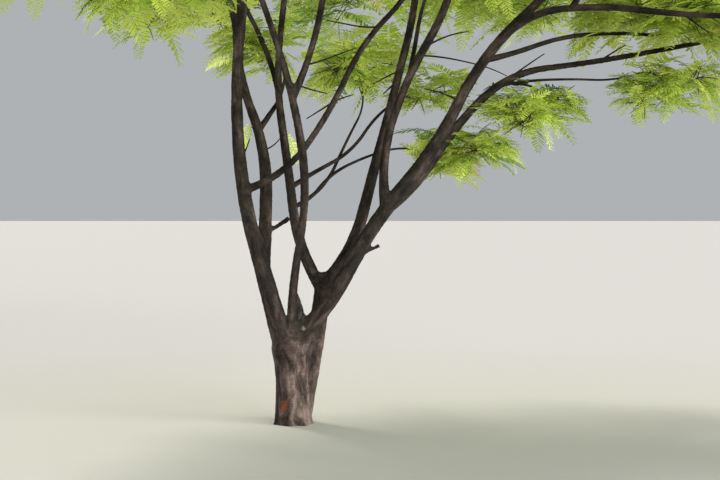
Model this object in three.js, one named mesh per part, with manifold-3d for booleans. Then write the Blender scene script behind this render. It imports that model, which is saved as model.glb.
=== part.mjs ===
// A flame tree (royal poinciana) rooted in the ground: a short trunk of two joined stems, long
// leaning boughs that fork again and again, and a flat spreading crown of feathery leaves.
// Millimetres, +Z up, +X to the right and +Y away from whoever looks at the front of the tree.
import * as THREE from "three";
import { mergeVertices } from "three/addons/utils/BufferGeometryUtils.js";
import Module from "manifold-3d";

const wasm = await Module();
wasm.setup();

// Clear space between two neighbouring pieces.
const GAP = 0.3;

// Trunk: a front stem from the ground to its fork and a rear stem that stands close behind it
// and forks higher. Each walks from its start along a heading that turns evenly through the
// listed ones, each a bearing round the tree from +X and a rise above the horizontal, in
// degrees. girth is the diameter at even steps along the way.
const FRONT_STEM = {
  start: [-3, 0, -40],
  headings: [[180, 88], [180, 87], [180, 84]],
  length: 660,
  girth: [262, 232, 206, 197, 200, 222, 150],
};
const REAR_STEM = {
  start: [31, 70, -56],
  headings: [[20, 76], [20, 78], [37, 81], [153, 86]],
  length: 1045,
  girth: [150, 118, 112, 114, 66],
};

// Wood grown up in the crotches: two between the front bough and the right one, one between
// the two stems, and one in the rear stem's fork.
const CROTCHES = [
  { start: [0, -10, 560], headings: [[0, 60], [0, 58]], length: 170, girth: [110, 60] },
  { start: [58, -14, 630], headings: [[180, 84], [180, 72]], length: 250, girth: [80, 30] },
  { start: [66, 50, 280], headings: [[40, 86], [40, 86]], length: 400, girth: [70, 70] },
  { start: [186, 145, 880], headings: [[0, 90], [0, 90]], length: 114, girth: [100, 44] },
];

// Root flare: low ridges down the foot of the trunk, each from a place on the stem to the ground.
const FLARE = { ridges: 7, top: [78, 200], foot: [110, -30], girth: [70, 36] };

// Boughs. Each starts at a place in the trunk, or at a share of another bough's length, and
// walks as the stems do. collar is the length that belongs to the trunk, stub a broken side
// shoot, and leaves the space of the mass at the tip: its middle, and how far the leaves spread
// round that.
const BOUGHS = [
  {
    name: "left_bough",
    start: [-31, 0, 416],
    headings: [[188, 74], [196, 74], [221, 86], [305, 78], [187, 63], [185, 55]],
    length: 3720,
    girth: [150, 100, 80, 68, 54, 34],
    collar: 300,
    leaves: { middle: [-1120, -420, 4080], spread: 900 },
  },
  {
    name: "front_bough",
    start: [-13, -30, 584],
    headings: [[274, 80], [321, 76], [236, 76], [241, 58], [251, 40], [226, 15], [236, 9]],
    length: 3733,
    girth: [62, 50, 56, 44, 34, 27, 18],
    collar: 130,
    leaves: { middle: [-1180, -2250, 3220], spread: 920 },
  },
  {
    name: "right_bough",
    start: [3, 0, 524],
    headings: [[345, 45], [0, 62], [356, 50], [358, 64], [352, 43], [347, 48], [345, 63]],
    length: 3843,
    girth: [120, 100, 92, 74, 62, 44, 26],
    collar: 300,
    stub: { at: 0.187, headings: [[350, 18], [350, 30]], length: 165, girth: [34, 26] },
    leaves: { middle: [2620, -330, 3750], spread: 920 },
  },
  {
    name: "rear_bough",
    start: [176, 140, 880],
    headings: [[10, 44], [9, 76], [8, 75], [43, 71], [84, 61], [90, 50], [95, 35]],
    length: 3482,
    girth: [98, 78, 60, 54, 44, 36, 24],
    collar: 190,
    leaves: { middle: [960, 1560, 4020], spread: 900 },
  },
  {
    name: "rear_left_bough",
    start: [176, 150, 886],
    headings: [[166, 57], [141, 81], [148, 80], [75, 75], [354, 81], [294, 79], [274, 76]],
    length: 3347,
    girth: [84, 64, 56, 45, 40, 32, 22],
    collar: 190,
    leaves: { middle: [20, 250, 4450], spread: 900 },
  },
  {
    name: "left_inner_bough",
    on: "left_bough",
    at: 0.17,
    headings: [[77, 68], [92, 86], [164, 68], [104, 80], [169, 42], [180, 1], [174, 4]],
    length: 3165,
    girth: [88, 82, 62, 52, 44, 36, 26],
    stub: { at: 0.075, headings: [[350, 26], [350, 36]], length: 188, girth: [36, 28] },
    leaves: { middle: [-2150, 430, 3280], spread: 920 },
  },
  {
    name: "left_inner_fork",
    on: "left_inner_bough",
    at: 0.29,
    headings: [[56, 42], [78, 24], [65, 71]],
    length: 664,
    girth: [38, 30, 18],
    leaves: { middle: [-140, 880, 2480], spread: 540 },
  },
  {
    name: "front_upright_fork",
    on: "front_bough",
    at: 0.42,
    headings: [[338, 62], [301, 65], [284, 68], [267, 63], [253, 52]],
    length: 2002,
    girth: [44, 42, 36, 30, 22],
    leaves: { middle: [230, -1420, 4050], spread: 900 },
  },
  {
    name: "crossing_bough",
    on: "left_bough",
    at: 0.31,
    headings: [[345, 15], [10, 54], [311, 54], [321, 36], [305, 61], [312, 54], [300, 55]],
    length: 3088,
    girth: [48, 42, 40, 36, 31, 27, 20],
    leaves: { middle: [1560, -1400, 3980], spread: 900 },
  },
  {
    name: "rear_left_fork",
    on: "rear_left_bough",
    at: 0.4,
    headings: [[121, 66], [144, 55], [110, 62], [118, 51]],
    length: 1955,
    girth: [36, 32, 26, 20],
    leaves: { middle: [-900, 1400, 3970], spread: 900 },
  },
  {
    name: "right_upright_bough",
    on: "right_bough",
    at: 0.28,
    headings: [[175, 81], [357, 73], [350, 59], [335, 79], [19, 86], [164, 80]],
    length: 2832,
    girth: [62, 54, 56, 46, 34, 24],
    leaves: { middle: [1180, -150, 4420], spread: 900 },
  },
  {
    name: "right_low_bough",
    on: "right_bough",
    at: 0.28,
    headings: [[30, 30], [19, 56], [12, 44], [7, 7], [4, 10], [4, 11], [20, 19]],
    length: 3017,
    girth: [66, 62, 58, 42, 38, 33, 24],
    leaves: { middle: [3550, 620, 2670], spread: 720 },
  },
  {
    name: "right_arching_bough",
    on: "right_bough",
    at: 0.62,
    headings: [[329, 44], [345, 3], [343, -9], [346, -3], [0, 5]],
    length: 1957,
    girth: [50, 45, 44, 36, 24],
    leaves: { middle: [3500, -760, 2670], spread: 720 },
  },
  {
    name: "right_middle_bough",
    on: "right_bough",
    at: 0.58,
    headings: [[33, 11], [15, 20], [5, 4], [3, -5]],
    length: 1191,
    girth: [36, 32, 28, 20],
    leaves: { middle: [2430, 470, 2740], spread: 760 },
  },
  {
    name: "upright_fork",
    on: "right_upright_bough",
    at: 0.31,
    headings: [[69, 62], [70, 62], [47, 52]],
    length: 800,
    girth: [30, 27, 22],
    leaves: { middle: [1400, 700, 2880], spread: 760 },
  },
  {
    name: "slanting_branch",
    on: "rear_left_bough",
    at: 0.21,
    headings: [[10, 34], [17, 27], [21, 55], [22, 31]],
    length: 961,
    girth: [32, 26, 22, 17],
    leaves: { middle: [900, 540, 2200], spread: 380 },
  },
  {
    name: "low_rear_branch",
    on: "rear_left_bough",
    at: 0.17,
    headings: [[12, 24], [43, 59], [61, 43]],
    length: 844,
    girth: [28, 22, 15],
    leaves: { middle: [400, 800, 2420], spread: 580 },
  },
  {
    name: "underside_branch",
    on: "low_rear_branch",
    at: 0.23,
    headings: [[9, 55], [16, 26], [10, 17], [14, -15]],
    length: 809,
    girth: [22, 19, 16, 13],
    leaves: { middle: [1200, 450, 1790], spread: 460 },
  },
  {
    name: "thin_right_branch",
    on: "right_low_bough",
    at: 0.38,
    headings: [[349, 12], [352, 2], [351, -3], [1, 19]],
    length: 942,
    girth: [20, 16, 13],
    leaves: { middle: [2500, 120, 2180], spread: 440 },
  },
  {
    name: "hanging_branch",
    on: "thin_right_branch",
    at: 0.1,
    headings: [[17, 0], [20, -11], [36, -41]],
    length: 250,
    girth: [16, 13],
    leaves: { middle: [1560, 320, 2010], spread: 460 },
  },
  {
    name: "left_outer_bough",
    on: "left_bough",
    at: 0.67,
    headings: [[198, 46], [211, 12], [199, -4]],
    length: 1291,
    girth: [42, 34, 22],
    leaves: { middle: [-1950, -1050, 3200], spread: 920 },
  },
  {
    name: "left_hanging_branch",
    on: "left_inner_bough",
    at: 0.67,
    headings: [[248, 74], [221, 19], [199, -30]],
    length: 510,
    girth: [26, 18],
    leaves: { middle: [-800, 0, 2840], spread: 720 },
  },
  {
    name: "left_rear_bough",
    on: "left_inner_bough",
    at: 0.6,
    headings: [[121, 55], [139, 14], [143, -2]],
    length: 1274,
    girth: [40, 32, 22],
    leaves: { middle: [-1800, 1350, 3220], spread: 940 },
  },
  {
    name: "front_outer_bough",
    on: "front_upright_fork",
    at: 0.38,
    headings: [[283, 46], [274, 23], [274, -3]],
    length: 1337,
    girth: [32, 27, 19],
    leaves: { middle: [350, -2420, 3300], spread: 940 },
  },
  {
    name: "front_right_bough",
    on: "crossing_bough",
    at: 0.65,
    headings: [[305, 32], [308, 10], [294, 5]],
    length: 1358,
    girth: [28, 24, 18],
    leaves: { middle: [1850, -2230, 3260], spread: 920 },
  },
  {
    name: "right_front_bough",
    on: "right_arching_bough",
    at: 0.27,
    headings: [[314, 54], [306, 21], [297, 9]],
    length: 1280,
    girth: [38, 31, 22],
    leaves: { middle: [2900, -1500, 3160], spread: 920 },
  },
  {
    name: "rear_right_bough",
    on: "rear_bough",
    at: 0.6,
    headings: [[63, 48], [49, 11], [54, 4]],
    length: 1510,
    girth: [38, 31, 22],
    leaves: { middle: [2000, 1950, 3100], spread: 940 },
  },
  {
    name: "rear_outer_bough",
    on: "rear_left_bough",
    at: 0.62,
    headings: [[52, 40], [74, 12], [84, -1]],
    length: 1612,
    girth: [38, 31, 22],
    leaves: { middle: [420, 2420, 3000], spread: 960 },
  },
  {
    name: "rear_left_outer_bough",
    on: "rear_left_fork",
    at: 0.46,
    headings: [[119, 41], [106, 14], [102, 0]],
    length: 1280,
    girth: [26, 23, 18],
    leaves: { middle: [-1000, 2250, 3040], spread: 940 },
  },
];

// How a tube is made: the fine steps of a limb's walk, the distance between its rings, more
// sides where it is thick, and how a bough swells where it leaves another.
const WALK_STEPS = 48;
const RING_EVERY = 335;
const SIDES = { stem: 12, ridge: 6, thick: 8, thin: 6, slender: 5, twig: 3 };
const THICK = 70;
const SLENDER = 42;
const SWELLING = { share: 0.28, over: 110 };

// A short bend, such as a twig or a flare ridge, takes so many straight stretches.
const BEND_STRETCHES = 2;

// A mass grows inside its space, which is flatter than wide: a stem from the bough's tip to the
// middle, then twigs that leave it from a share of its length on and reach out all round. Each
// twig arches by a share of its length and ends above or below the middle by up to a share of
// the space's height. VARIED is how far a length strays from its own value.
const FLATNESS = 0.68;
const MASS_STEM_GIRTH = [18, 15];
const TWIGS = { small: 3, large: 5, largeOver: 600 };
const TWIG = { first: 0.45, reach: 0.5, height: 0.5, arch: 0.1, girth: [15, 11], stagger: 72 };
const VARIED = 0.15;

// A leaf's length, and shares of it: where it is widest, its width and thickness there, how it
// arches and how its tip drops. Small masses have smaller leaves. Leaves stand in turn to both
// sides of their twig at the listed shares of its length, more on every second twig, with one
// more at its end, and each is shortened in a few tries until it fits.
const LEAF = { length: 500, widest: 0.45, width: 0.42, thick: 0.05, arch: 0.07, drop: 0.1, sunk: 3 };
const FULL_SIZE_SPREAD = 700;
const LEAF_PLACES = [
  [0.3, 0.55, 0.8],
  [0.36, 0.72],
];
const LEAF_AT_END = 0.98;
const LEAF_TRIES = [1, 0.85, 0.7];
const LEAF_ANGLE = 58;
const LEAF_STRAYS = { bearing: 11, rise: 20 };

// Clear space from a leaf to a limb, and to the neighbour's half of the room between two masses.
const LEAF_LIMB_GAP = 6;
const NEIGHBOUR_GAP = 12;

// Corners that stand off a flat face by less than this are taken out of a mass.
const SMOOTHED = 1.2;

const UP = new THREE.Vector3(0, 0, 1);
const radians = THREE.MathUtils.degToRad;
const vector = (place) => new THREE.Vector3(...place);

// A unit vector from a bearing round the tree and a rise above the horizontal.
function headingOf([bearing, rise]) {
  const flat = Math.cos(radians(rise));
  return new THREE.Vector3(
    flat * Math.cos(radians(bearing)),
    flat * Math.sin(radians(bearing)),
    Math.sin(radians(rise)),
  );
}

// The value at a share of the way through evenly spaced ones, numbers or vectors.
function between(values, share) {
  const place = Math.min(Math.max(share, 0), 1) * (values.length - 1);
  const before = Math.min(Math.floor(place), values.length - 2);
  const [a, b] = [values[before], values[before + 1]];
  const part = place - before;
  return a.isVector3 ? a.clone().lerp(b, part) : a + (b - a) * part;
}

// A limb that walks from its start along a heading that turns evenly through the given ones.
function walkedLimb({ start, headings, length, girth, swell = 0 }) {
  const turns = headings.map(headingOf);
  const line = [start.clone()];
  for (let step = 0; step < WALK_STEPS; step++) {
    const ahead = between(turns, (step + 0.5) / WALK_STEPS).setLength(length / WALK_STEPS);
    line.push(line[step].clone().add(ahead));
  }
  return { line, length, girth, swell };
}

// A limb that leaves its start towards one place and bends over to end at another, in a few
// straight stretches.
function bentLimb(start, towards, end, girth) {
  const curve = new THREE.QuadraticBezierCurve3(start, towards, end);
  const line = curve.getSpacedPoints(BEND_STRETCHES);
  const facing = curve.getTangent(0);
  return { line, length: curve.getLength(), girth, swell: 0, rings: BEND_STRETCHES, facing };
}

const placeOn = (limb, share) => between(limb.line, share);

function headingOn(limb, share) {
  const near = 0.5 / (limb.line.length - 1);
  const behind = placeOn(limb, Math.max(share - near, 0));
  return placeOn(limb, Math.min(share + near, 1)).sub(behind).normalize();
}

// The limb's radius at a share of its length, with the swelling at its foot.
function radiusOn(limb, share) {
  const swelling = 1 + limb.swell * Math.exp((-share * limb.length) / SWELLING.over);
  return (between(limb.girth, share) / 2) * swelling;
}

// A closed tube round the limb between two shares of its length: a cylinder bent along the
// limb's line. grown widens it all round.
function tube(limb, { from = 0, to = 1, sides, grown = 0 }) {
  const rings = limb.rings ?? Math.max(1, Math.round(((to - from) * limb.length) / RING_EVERY));
  const frames = [];
  let side = new THREE.Vector3(1, 0, 0);
  for (let ring = 0; ring <= rings; ring++) {
    const share = from + ((to - from) * ring) / rings;
    const ahead = ring === 0 && limb.facing ? limb.facing : headingOn(limb, share);
    side = side.clone().addScaledVector(ahead, -side.dot(ahead)).normalize();
    const radius = radiusOn(limb, share) + grown;
    frames.push({ middle: placeOn(limb, share), side, other: side.clone().cross(ahead), radius });
  }
  const geometry = new THREE.CylinderGeometry(1, 1, 1, sides, rings);
  const corners = geometry.getAttribute("position");
  for (let i = 0; i < corners.count; i++) {
    const frame = frames[Math.round((corners.getY(i) + 0.5) * rings)];
    const corner = frame.middle
      .clone()
      .addScaledVector(frame.side, corners.getX(i) * frame.radius)
      .addScaledVector(frame.other, corners.getZ(i) * frame.radius);
    corners.setXYZ(i, corner.x, corner.y, corner.z);
  }
  return solidOf(geometry);
}

// A closed geometry as a solid, and a solid as a geometry again.
function solidOf(geometry) {
  const bare = geometry.clone().deleteAttribute("normal").deleteAttribute("uv");
  const merged = mergeVertices(bare, 1e-3);
  return new wasm.Manifold(
    new wasm.Mesh({
      numProp: 3,
      vertProperties: merged.getAttribute("position").array,
      triVerts: new Uint32Array(merged.index.array),
    }),
  );
}

function geometryOf(solid) {
  const mesh = solid.getMesh();
  const geometry = new THREE.BufferGeometry();
  geometry.setAttribute("position", new THREE.BufferAttribute(mesh.vertProperties, 3));
  geometry.setIndex(new THREE.BufferAttribute(mesh.triVerts, 1));
  const faceted = geometry.toNonIndexed();
  faceted.computeVertexNormals();
  return faceted;
}

const joined = (solids) => wasm.Manifold.union(solids);
const biggestBody = (solid) => solid.decompose().sort((a, b) => b.volume() - a.volume())[0];

function boxesMeet(a, b) {
  const [one, other] = [a.boundingBox(), b.boundingBox()];
  return [0, 1, 2].every((i) => one.min[i] <= other.max[i] && other.min[i] <= one.max[i]);
}

// The limbs: every bough's line first, so that each can start on the one that carries it.
const limbs = new Map();
for (const bough of BOUGHS) {
  const start = bough.on ? placeOn(limbs.get(bough.on), bough.at) : vector(bough.start);
  limbs.set(bough.name, walkedLimb({ ...bough, start, swell: bough.on ? SWELLING.share : 0 }));
}
const placedLimb = (limb) => walkedLimb({ ...limb, start: vector(limb.start) });
const stems = [FRONT_STEM, REAR_STEM].map(placedLimb);
const crotches = CROTCHES.map(placedLimb);

// How many sides a bough's tube has, the same in its collar.
function sidesOf({ girth }) {
  if (girth[0] > THICK) return SIDES.thick;
  return girth[0] < SLENDER ? SIDES.slender : SIDES.thin;
}

// The trunk: both stems, the wood in their crotches, the ridges of the root flare and the
// collars that the boughs grow from, cut flat at ground level.
function flareRidge(number) {
  const round = (number / FLARE.ridges) * 2 * Math.PI;
  const place = ([out, height]) =>
    new THREE.Vector3(out * Math.cos(round), out * Math.sin(round), height);
  const [top, foot] = [place(FLARE.top), place(FLARE.foot)];
  const towards = new THREE.Vector3(top.x, top.y, (top.z + foot.z) / 2);
  return bentLimb(foot, towards, top, FLARE.girth);
}

function trunkSolid(grown) {
  const pieces = stems.map((stem) => tube(stem, { sides: SIDES.stem, grown }));
  pieces.push(...crotches.map((limb) => tube(limb, { sides: SIDES.thin, grown })));
  for (let i = 0; i < FLARE.ridges; i++) {
    pieces.push(tube(flareRidge(i), { sides: SIDES.ridge, grown }));
  }
  for (const bough of BOUGHS.filter(({ collar }) => collar)) {
    const limb = limbs.get(bough.name);
    pieces.push(tube(limb, { to: bough.collar / limb.length, sides: sidesOf(bough), grown }));
  }
  return joined(pieces).trimByPlane([0, 0, 1], 0);
}

// A bough: its tube from its collar or from inside the bough that carries it, cut clear of every
// piece that is already in place, with its broken stubs joined on.
function boughSolid(bough, grown) {
  const { name, collar, stub } = bough;
  const limb = limbs.get(name);
  const from = collar ? (collar + GAP) / limb.length : 0;
  const whole = tube(limb, { from, sides: sidesOf(bough), grown });
  if (!stub) return whole;
  const shoot = walkedLimb({ ...stub, start: placeOn(limb, stub.at) });
  return whole.add(tube(shoot, { sides: SIDES.thin, grown }));
}

const inPlace = [trunkSolid(GAP)];
const clearOf = (solid, others) =>
  others.filter((other) => boxesMeet(solid, other)).reduce((left, other) => left.subtract(other), solid);
const boughSolids = new Map();
for (const bough of BOUGHS) {
  boughSolids.set(bough.name, biggestBody(clearOf(boughSolid(bough, 0), inPlace)));
  inPlace.push(boughSolid(bough, GAP));
}

// Random shares between 0 and 1 that come out the same each time for one seed.
function seeded(seed) {
  let state = seed * 7919;
  return () => {
    state = (state * 1664525 + 1013904223) % 4294967296;
    return state / 4294967296;
  };
}

// A mass's space: inside its spread round its middle, and nearer to it than to any other mass.
const spaces = BOUGHS.map(({ leaves }) => ({ middle: vector(leaves.middle), spread: leaves.spread }));
const unflattened = (place) => place.clone().divide(vector([1, 1, FLATNESS]));
const depthIn = (space, place) =>
  unflattened(place).distanceToSquared(unflattened(space.middle)) - space.spread ** 2;

function isInside(space, place) {
  const own = depthIn(space, place);
  return spaces.every((other) => {
    if (other === space) return own < 0;
    const apart = unflattened(space.middle).distanceTo(unflattened(other.middle));
    return own + NEIGHBOUR_GAP * apart < depthIn(other, place);
  });
}

// One leaf, a blade that arches over from its root to its tip, widest before its middle, from
// an eight-faced solid: its corners are the root, the tip, two sides, the ridge and the keel.
function leafShape(root, ahead, length) {
  const side = UP.clone().cross(ahead).normalize();
  const above = ahead.clone().cross(side);
  const at = (along, across, height) =>
    root
      .clone()
      .addScaledVector(ahead, along)
      .addScaledVector(side, across * length)
      .addScaledVector(above, height * length);
  const middle = LEAF.widest * length;
  const places = {
    root: at(-LEAF.sunk, 0, 0),
    tip: at(length, 0, -LEAF.drop),
    left: at(middle, LEAF.width / 2, LEAF.arch - LEAF.thick / 2),
    right: at(middle, -LEAF.width / 2, LEAF.arch - LEAF.thick / 2),
    ridge: at(middle, 0, LEAF.arch + LEAF.thick / 2),
    keel: at(middle, 0, LEAF.arch - LEAF.thick / 2),
  };
  const geometry = new THREE.OctahedronGeometry(1, 0);
  const corners = geometry.getAttribute("position");
  for (let i = 0; i < corners.count; i++) {
    const [x, y, z] = [corners.getX(i), corners.getY(i), corners.getZ(i)];
    const along = x < -0.5 ? places.root : places.tip;
    const across = y > 0.5 ? places.left : places.right;
    const upright = z > 0.5 ? places.ridge : places.keel;
    const place = Math.abs(x) > 0.5 ? along : Math.abs(y) > 0.5 ? across : upright;
    corners.setXYZ(i, place.x, place.y, place.z);
  }
  return { solid: solidOf(geometry), reach: Object.values(places).slice(1) };
}

// The limbs widened by the clear space that leaves and twigs keep from them.
const nearLimbs = [trunkSolid(LEAF_LIMB_GAP), ...BOUGHS.map((bough) => boughSolid(bough, LEAF_LIMB_GAP))];
const meetsAny = (solid, others) =>
  others.some((other) => boxesMeet(solid, other) && !solid.intersect(other).isEmpty());

// A mass of leaves on its bough's tip, as one fused body.
function massSolid(bough, number) {
  const random = seeded(number + 1);
  const strayed = (most) => (random() * 2 - 1) * most;
  const space = spaces[number];
  const limb = limbs.get(bough.name);
  const ahead = headingOn(limb, 1);
  const start = placeOn(limb, 1).addScaledVector(ahead, GAP);
  const towards = start.clone().addScaledVector(ahead, start.distanceTo(space.middle) / 2);
  const massStem = bentLimb(start, towards, space.middle, MASS_STEM_GIRTH);
  const wood = [tube(massStem, { sides: SIDES.twig })];
  const leaves = [];
  const fullLength = LEAF.length * Math.min(1, space.spread / FULL_SIZE_SPREAD);

  // The longest leaf of a few tries that keeps to the space and clear of limbs and other leaves.
  function addLeaf(root, bearing, rise) {
    const length = fullLength * (1 + strayed(VARIED));
    const tries = LEAF_TRIES.map((share) => leafShape(root, headingOf([bearing, rise]), share * length));
    const fitting = tries.find(
      ({ solid, reach }) =>
        reach.every((place) => isInside(space, place)) && !meetsAny(solid, [...nearLimbs, ...leaves]),
    );
    if (fitting) leaves.push(fitting.solid);
  }

  const twigs = space.spread > TWIGS.largeOver ? TWIGS.large : TWIGS.small;
  const firstBearing = random() * 360;
  for (let i = 0; i < twigs; i++) {
    const foot = placeOn(massStem, TWIG.first + ((1 - TWIG.first) * i) / (twigs - 1));
    const bearing = firstBearing + (i * 2 * 360) / twigs + strayed(TWIG.stagger / 2);
    const end = headingOf([bearing, 0])
      .multiplyScalar(space.spread * TWIG.reach * (1 + strayed(VARIED)))
      .add(space.middle)
      .addScaledVector(UP, strayed(TWIG.height) * space.spread * FLATNESS);
    const over = foot.clone().lerp(end, 0.5).addScaledVector(UP, TWIG.arch * foot.distanceTo(end));
    const twig = bentLimb(foot, over, end, TWIG.girth);
    const solid = tube(twig, { sides: SIDES.twig });
    if (!isInside(space, end) || meetsAny(solid, [...nearLimbs, ...leaves])) continue;
    wood.push(solid);
    LEAF_PLACES[i % 2].forEach((share, place) => {
      const turn = (place + i) % 2 ? LEAF_ANGLE : -LEAF_ANGLE;
      const leafBearing = bearing + turn + strayed(LEAF_STRAYS.bearing);
      addLeaf(placeOn(twig, share), leafBearing, strayed(LEAF_STRAYS.rise));
    });
    addLeaf(placeOn(twig, LEAF_AT_END), bearing, strayed(LEAF_STRAYS.rise));
  }
  return biggestBody(joined([...wood, ...leaves]).simplify(SMOOTHED));
}

const bark = new THREE.MeshStandardMaterial({ color: 0x75665a, roughness: 0.9, metalness: 0 });
const foliage = new THREE.MeshStandardMaterial({ color: 0x8bb23c, roughness: 0.6, metalness: 0 });

function meshOf(name, solid, material, place) {
  const geometry = geometryOf(solid).translate(-place.x, -place.y, -place.z);
  const mesh = new THREE.Mesh(geometry, material.clone());
  mesh.name = name;
  mesh.position.copy(place);
  return mesh;
}

// The tree as it stands: the trunk, then each bough placed at its foot and each mass of leaves
// at its bough's tip.
const tree = new THREE.Group();
const wood = new THREE.Group();
const crown = new THREE.Group();
wood.add(meshOf("trunk", trunkSolid(0), bark, vector([0, 0, 0])));
BOUGHS.forEach((bough, number) => {
  const limb = limbs.get(bough.name);
  wood.add(meshOf(bough.name, boughSolids.get(bough.name), bark, placeOn(limb, 0)));
  const mass = massSolid(bough, number);
  crown.add(meshOf(bough.name + "_leaves", mass, foliage, placeOn(limb, 1)));
});
tree.add(wood, crown);

export default tree;
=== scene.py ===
"""A young flame tree (royal poinciana) rooted in the ground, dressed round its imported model.

Metres, +Z up, +X to the right and +Y away from whoever looks at the front of the tree.
The file goes from the ground up: trunk and boughs, thin branches, twigs, then leaves, and
last the floor, the light and the camera.
"""

import math

import bmesh
import bpy
import numpy as np
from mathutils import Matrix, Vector, kdtree, noise


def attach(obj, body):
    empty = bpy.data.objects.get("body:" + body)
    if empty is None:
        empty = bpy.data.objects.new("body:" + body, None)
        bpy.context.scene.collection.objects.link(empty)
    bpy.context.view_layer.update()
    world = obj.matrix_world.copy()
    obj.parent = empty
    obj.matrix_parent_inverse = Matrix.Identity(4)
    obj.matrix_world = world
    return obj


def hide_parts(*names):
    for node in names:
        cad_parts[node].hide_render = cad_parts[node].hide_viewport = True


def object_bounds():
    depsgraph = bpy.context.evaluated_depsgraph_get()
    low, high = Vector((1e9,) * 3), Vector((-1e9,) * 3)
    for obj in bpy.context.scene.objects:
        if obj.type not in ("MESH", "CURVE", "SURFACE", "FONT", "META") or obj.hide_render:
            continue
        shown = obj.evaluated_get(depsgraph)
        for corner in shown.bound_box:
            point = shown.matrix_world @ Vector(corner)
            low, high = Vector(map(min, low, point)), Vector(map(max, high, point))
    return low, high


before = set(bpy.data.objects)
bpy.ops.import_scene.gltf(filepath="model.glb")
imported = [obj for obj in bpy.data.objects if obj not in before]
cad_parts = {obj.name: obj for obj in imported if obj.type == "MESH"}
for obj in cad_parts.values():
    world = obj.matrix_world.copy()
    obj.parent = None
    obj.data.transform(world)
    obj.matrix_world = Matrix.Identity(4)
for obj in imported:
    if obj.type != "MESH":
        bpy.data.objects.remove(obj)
cad_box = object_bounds()


# Trunk and boughs: living wood under thin grey-brown bark. Two stems stand close together and
# fork into long leaning boughs, grown together where they meet. They are one closed skin with
# shallow flutes, fine rings and low knobs, cut flat at the ground.

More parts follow.
